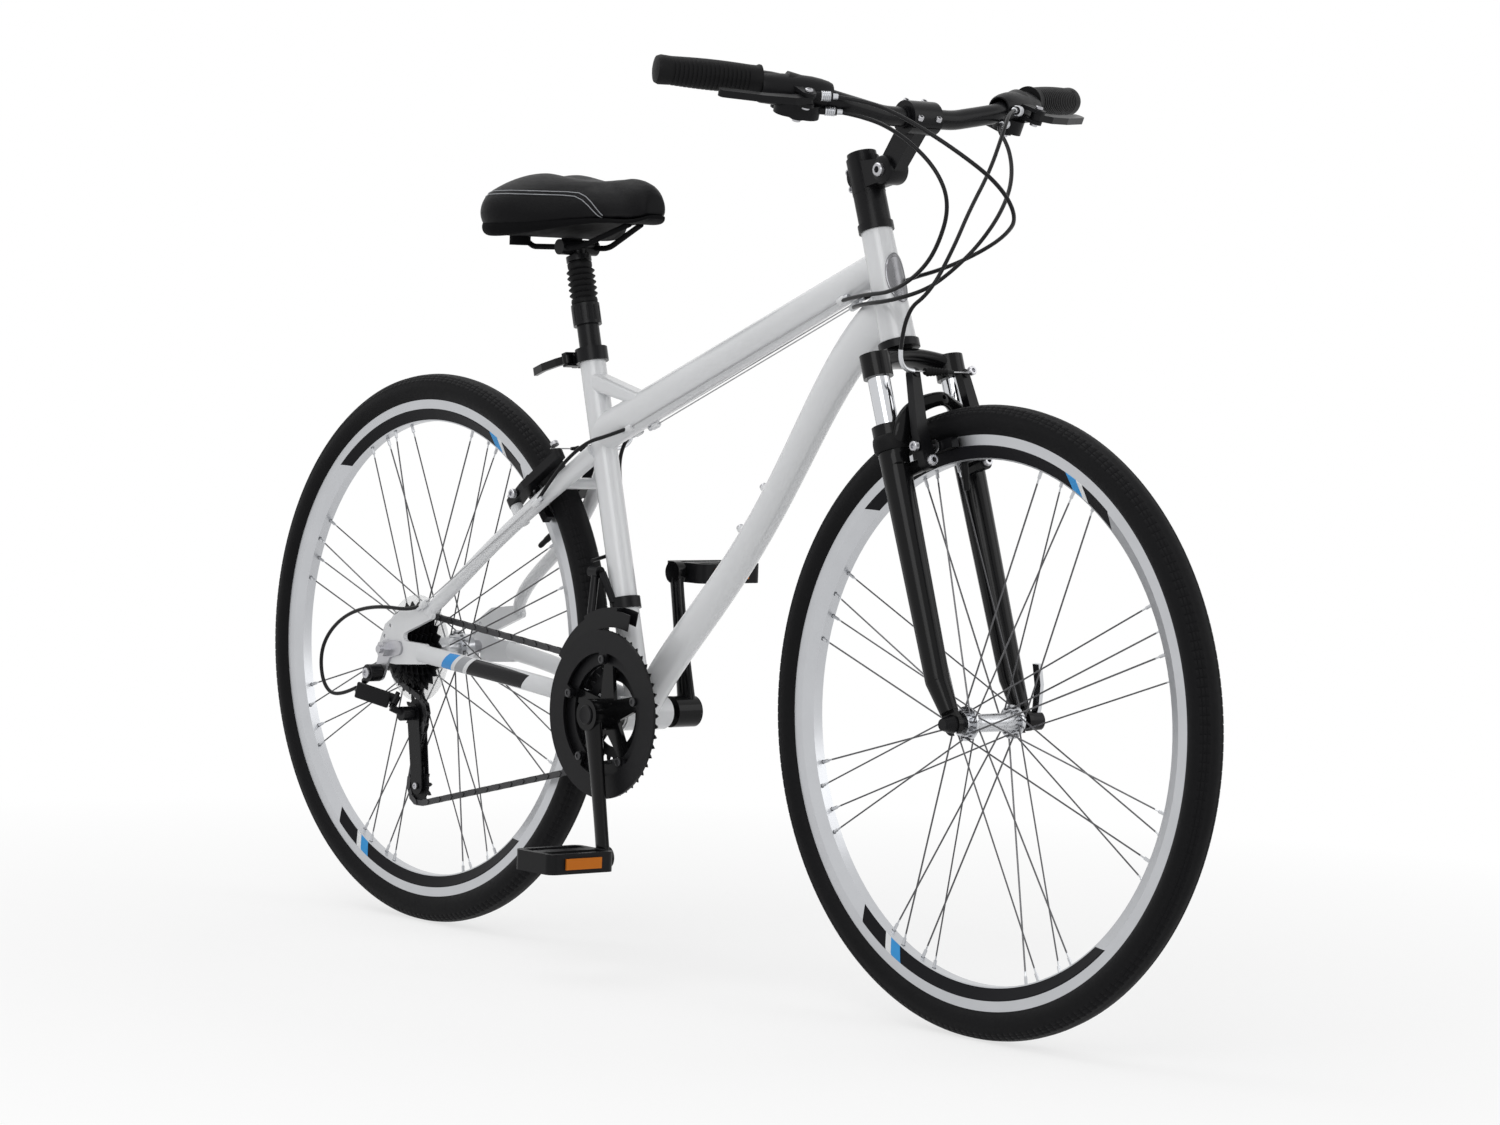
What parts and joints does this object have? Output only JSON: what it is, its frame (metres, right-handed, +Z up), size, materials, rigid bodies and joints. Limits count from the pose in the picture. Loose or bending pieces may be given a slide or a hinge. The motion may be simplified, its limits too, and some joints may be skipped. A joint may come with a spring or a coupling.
{
  "type": "hybrid bicycle",
  "caption": "White hybrid bicycle with a low-slung frame, suspension fork, sprung seatpost, rim brakes and a rear derailleur.",
  "frame": {"origin": "on the ground, midway between the two axles, in the bicycle's middle plane", "axes": "+X forward, +Y to the rider's left, +Z up; the chain is on the -Y side"},
  "size_m": [1.7376, 0.6346, 1.0653],
  "materials": {
    "white_paint": "gloss white enamel over alloy tube",
    "black_paint": "black enamel",
    "black_alloy": "black satin anodised",
    "chrome": "polished",
    "silver_alloy": "machined satin",
    "steel": "zinc plated",
    "dark_steel": "dark oiled",
    "tyre_rubber": "matte",
    "grip_rubber": "matte",
    "black_plastic": "fine grained",
    "saddle_cover": "grained cover over foam"
  },
  "bodies": {
    "frame": {"head_tube": "white_paint", "top_tube": "white_paint", "down_tube": "white_paint", "seat_tube": "white_paint", "bottom_bracket": "white_paint", "chainstays": "white_paint", "seatstays": "white_paint", "dropouts": "white_paint", "headset_cups": "black_alloy", "seat_collar": "black_alloy", "front_derailleur_clamp": "black_paint", "rear_axle": "steel", "rd_body": "black_paint", "brake_cables": "grip_rubber", "shift_cables": "grip_rubber", "chain": "dark_steel"},
    "fork_upper": {"fork_crown": "black_paint", "stanchions": "chrome", "headset_spacers": "black_alloy", "stem": "black_alloy", "handlebar": "black_alloy", "grips": "grip_rubber", "control_pods": "black_plastic"},
    "fork_lower": {"fork_lowers": "black_paint", "front_axle": "steel"},
    "front_wheel": {"front_tyre": "tyre_rubber", "front_rim": "silver_alloy", "front_spokes": "dark_steel", "front_hub": "silver_alloy"},
    "rear_wheel": {"rear_tyre": "tyre_rubber", "rear_rim": "silver_alloy", "rear_spokes": "dark_steel", "rear_hub": "silver_alloy"},
    "crank": {"crank_arm_right": "black_paint", "crank_arm_left": "black_paint", "chainrings": "black_plastic"},
    "freewheel": {"freewheel": "black_paint"},
    "pedal_right": {"pedal_right": "black_plastic"},
    "pedal_left": {"pedal_left": "black_plastic"},
    "rd_link": {"rd_link": "black_paint"},
    "rd_knuckle": {"rd_knuckle": "black_paint"},
    "rd_cage": {"rd_cage": "black_paint"},
    "guide_pulley": {"guide_pulley": "black_plastic"},
    "tension_pulley": {"tension_pulley": "black_plastic"},
    "front_derailleur": {"front_derailleur_cage": "black_paint"},
    "front_brake_arm_right": {"front_brake_arm_right": "black_alloy"},
    "front_brake_arm_left": {"front_brake_arm_left": "black_alloy"},
    "rear_brake_arm_right": {"rear_brake_arm_right": "black_alloy"},
    "rear_brake_arm_left": {"rear_brake_arm_left": "black_alloy"},
    "brake_lever_right": {"brake_lever_right": "black_alloy"},
    "brake_lever_left": {"brake_lever_left": "black_alloy"},
    "shift_paddle_right": {"shift_paddle_right": "black_plastic"},
    "shift_paddle_left": {"shift_paddle_left": "black_plastic"},
    "front_qr_lever": {"front_qr_lever": "chrome"},
    "seat_qr_lever": {"seat_qr_lever": "black_paint"},
    "seatpost": {"seatpost": "black_alloy", "seatpost_boot": "grip_rubber"},
    "saddle": {"seatpost_piston": "steel", "saddle_base": "black_plastic", "saddle_cushion": "saddle_cover"}
  },
  "joints": [
    {"name": "steering", "type": "hinge", "parent": "frame", "child": "fork_upper", "pos_m": [0.34673, 0, 0.76151], "axis": [-0.3338, 0, 0.9426], "range_deg": [-60, 60], "deforming": ["brake_cables", "shift_cables"]},
    {"name": "fork_travel", "type": "slide", "parent": "fork_upper", "child": "fork_lower", "axis": [-0.3338, 0, 0.9426], "range_m": [0, 0.045], "stiffness_N_per_m": 12000, "springref_m": -0.005, "deforming": ["brake_cables"]},
    {"name": "front_wheel_spin", "type": "hinge", "parent": "fork_lower", "child": "front_wheel", "pos_m": [0.52, 0, 0.349], "axis": [0, 1, 0], "continuous": true},
    {"name": "rear_wheel_spin", "type": "hinge", "parent": "frame", "child": "rear_wheel", "pos_m": [-0.52, 0, 0.349], "axis": [0, 1, 0], "continuous": true},
    {"name": "crank_spin", "type": "hinge", "parent": "frame", "child": "crank", "pos_m": [-0.096, 0, 0.304], "axis": [0, 1, 0], "continuous": true, "deforming": ["chain"]},
    {"name": "freewheel_spin", "type": "hinge", "parent": "frame", "child": "freewheel", "pos_m": [-0.52, 0, 0.349], "axis": [0, 1, 0], "continuous": true},
    {"name": "pedal_right_spin", "type": "hinge", "parent": "crank", "child": "pedal_right", "pos_m": [-0.05608, -0.138, 0.13772], "axis": [0, 1, 0], "continuous": true},
    {"name": "pedal_left_spin", "type": "hinge", "parent": "crank", "child": "pedal_left", "pos_m": [-0.13592, 0.138, 0.47028], "axis": [0, 1, 0], "continuous": true},
    {"name": "rd_shift", "type": "hinge", "parent": "frame", "child": "rd_link", "pos_m": [-0.556, -0.088, 0.296], "axis": [-0.0186, 0.5143, 0.8574], "range_deg": [-30, 7], "deforming": ["chain", "shift_cables"]},
    {"name": "rd_level", "type": "hinge", "parent": "rd_link", "child": "rd_knuckle", "pos_m": [-0.51, -0.068, 0.285], "axis": [-0.0186, 0.5143, 0.8574], "range_deg": [-7, 30]},
    {"name": "rd_tension", "type": "hinge", "parent": "rd_knuckle", "child": "rd_cage", "pos_m": [-0.503, -0.038, 0.268], "axis": [0, 1, 0], "range_deg": [-25, 30], "stiffness_Nm_per_rad": 0.6, "deforming": ["chain"]},
    {"name": "guide_pulley_spin", "type": "hinge", "parent": "rd_cage", "child": "guide_pulley", "pos_m": [-0.503, -0.038, 0.268], "axis": [0, 1, 0], "continuous": true},
    {"name": "tension_pulley_spin", "type": "hinge", "parent": "rd_cage", "child": "tension_pulley", "pos_m": [-0.49013, -0.038, 0.1769], "axis": [0, 1, 0], "continuous": true},
    {"name": "fd_shift", "type": "hinge", "parent": "frame", "child": "front_derailleur", "pos_m": [-0.15981, -0.025, 0.47013], "axis": [-1, 0, 0], "range_deg": [0, 8], "deforming": ["chain", "shift_cables"]},
    {"name": "brake_lever_right_pull", "type": "hinge", "parent": "fork_upper", "child": "brake_lever_right", "pos_m": [0.37574, -0.17123, 1.0232], "axis": [-0.3389, 0.0852, -0.937], "range_deg": [0, 12], "stiffness_Nm_per_rad": 1.2, "springref_deg": -8.59, "deforming": ["brake_cables"]},
    {"name": "shift_paddle_right_push", "type": "hinge", "parent": "fork_upper", "child": "shift_paddle_right", "pos_m": [0.34049, -0.15564, 1.00535], "axis": [0.3389, -0.0852, 0.937], "range_deg": [0, 25], "stiffness_Nm_per_rad": 0.3, "springref_deg": -5.73, "deforming": ["shift_cables"]},
    {"name": "brake_lever_left_pull", "type": "hinge", "parent": "fork_upper", "child": "brake_lever_left", "pos_m": [0.37574, 0.17123, 1.0232], "axis": [0.3389, 0.0852, 0.937], "range_deg": [0, 12], "stiffness_Nm_per_rad": 1.2, "springref_deg": -8.59, "deforming": ["brake_cables"]},
    {"name": "shift_paddle_left_push", "type": "hinge", "parent": "fork_upper", "child": "shift_paddle_left", "pos_m": [0.34049, 0.15564, 1.00535], "axis": [-0.3389, -0.0852, -0.937], "range_deg": [0, 25], "stiffness_Nm_per_rad": 0.3, "springref_deg": -5.73, "deforming": ["shift_cables"]},
    {"name": "front_brake_right_close", "type": "hinge", "parent": "fork_lower", "child": "front_brake_arm_right", "pos_m": [0.44865, -0.041, 0.63138], "axis": [-0.9426, 0, -0.3338], "range_deg": [0, 4], "deforming": ["brake_cables"]},
    {"name": "front_brake_left_close", "type": "hinge", "parent": "fork_lower", "child": "front_brake_arm_left", "pos_m": [0.44865, 0.041, 0.63138], "axis": [0.9426, 0, 0.3338], "range_deg": [0, 4], "deforming": ["brake_cables"]},
    {"name": "rear_brake_right_close", "type": "hinge", "parent": "frame", "child": "rear_brake_arm_right", "pos_m": [-0.30589, -0.041, 0.54645], "axis": [-0.6069, 0, 0.7948], "range_deg": [0, 4], "deforming": ["brake_cables"]},
    {"name": "rear_brake_left_close", "type": "hinge", "parent": "frame", "child": "rear_brake_arm_left", "pos_m": [-0.30589, 0.041, 0.54645], "axis": [0.6069, 0, -0.7948], "range_deg": [0, 4], "deforming": ["brake_cables"]},
    {"name": "front_qr_turn", "type": "hinge", "parent": "fork_lower", "child": "front_qr_lever", "pos_m": [0.52, 0.067, 0.349], "axis": [-1, 0, 0], "range_deg": [0, 180]},
    {"name": "seat_qr_turn", "type": "hinge", "parent": "frame", "child": "seat_qr_lever", "pos_m": [-0.23738, -0.02, 0.724], "axis": [-0.2672, 0, 0.9636], "range_deg": [0, 110]},
    {"name": "seatpost_height", "type": "slide", "parent": "frame", "child": "seatpost", "axis": [-0.2672, 0, 0.9636], "range_m": [-0.018, 0.08]},
    {"name": "seat_suspension", "type": "slide", "parent": "seatpost", "child": "saddle", "axis": [0.2672, 0, -0.9636], "range_m": [0, 0.04], "stiffness_N_per_m": 15000, "springref_m": -0.006, "deforming": ["seatpost_boot"]}
  ],
  "couplings": [
    {"joint": "freewheel_spin", "follows": "crank_spin", "ratio": 1.1667},
    {"joint": "guide_pulley_spin", "follows": "crank_spin", "ratio": -2.5455},
    {"joint": "tension_pulley_spin", "follows": "crank_spin", "ratio": 2.5455},
    {"joint": "rd_level", "follows": "rd_shift", "ratio": -1},
    {"joint": "front_brake_right_close", "follows": "brake_lever_left_pull", "ratio": 0.33333},
    {"joint": "front_brake_left_close", "follows": "brake_lever_left_pull", "ratio": 0.33333},
    {"joint": "rear_brake_right_close", "follows": "brake_lever_right_pull", "ratio": 0.33333},
    {"joint": "rear_brake_left_close", "follows": "brake_lever_right_pull", "ratio": 0.33333}
  ]
}
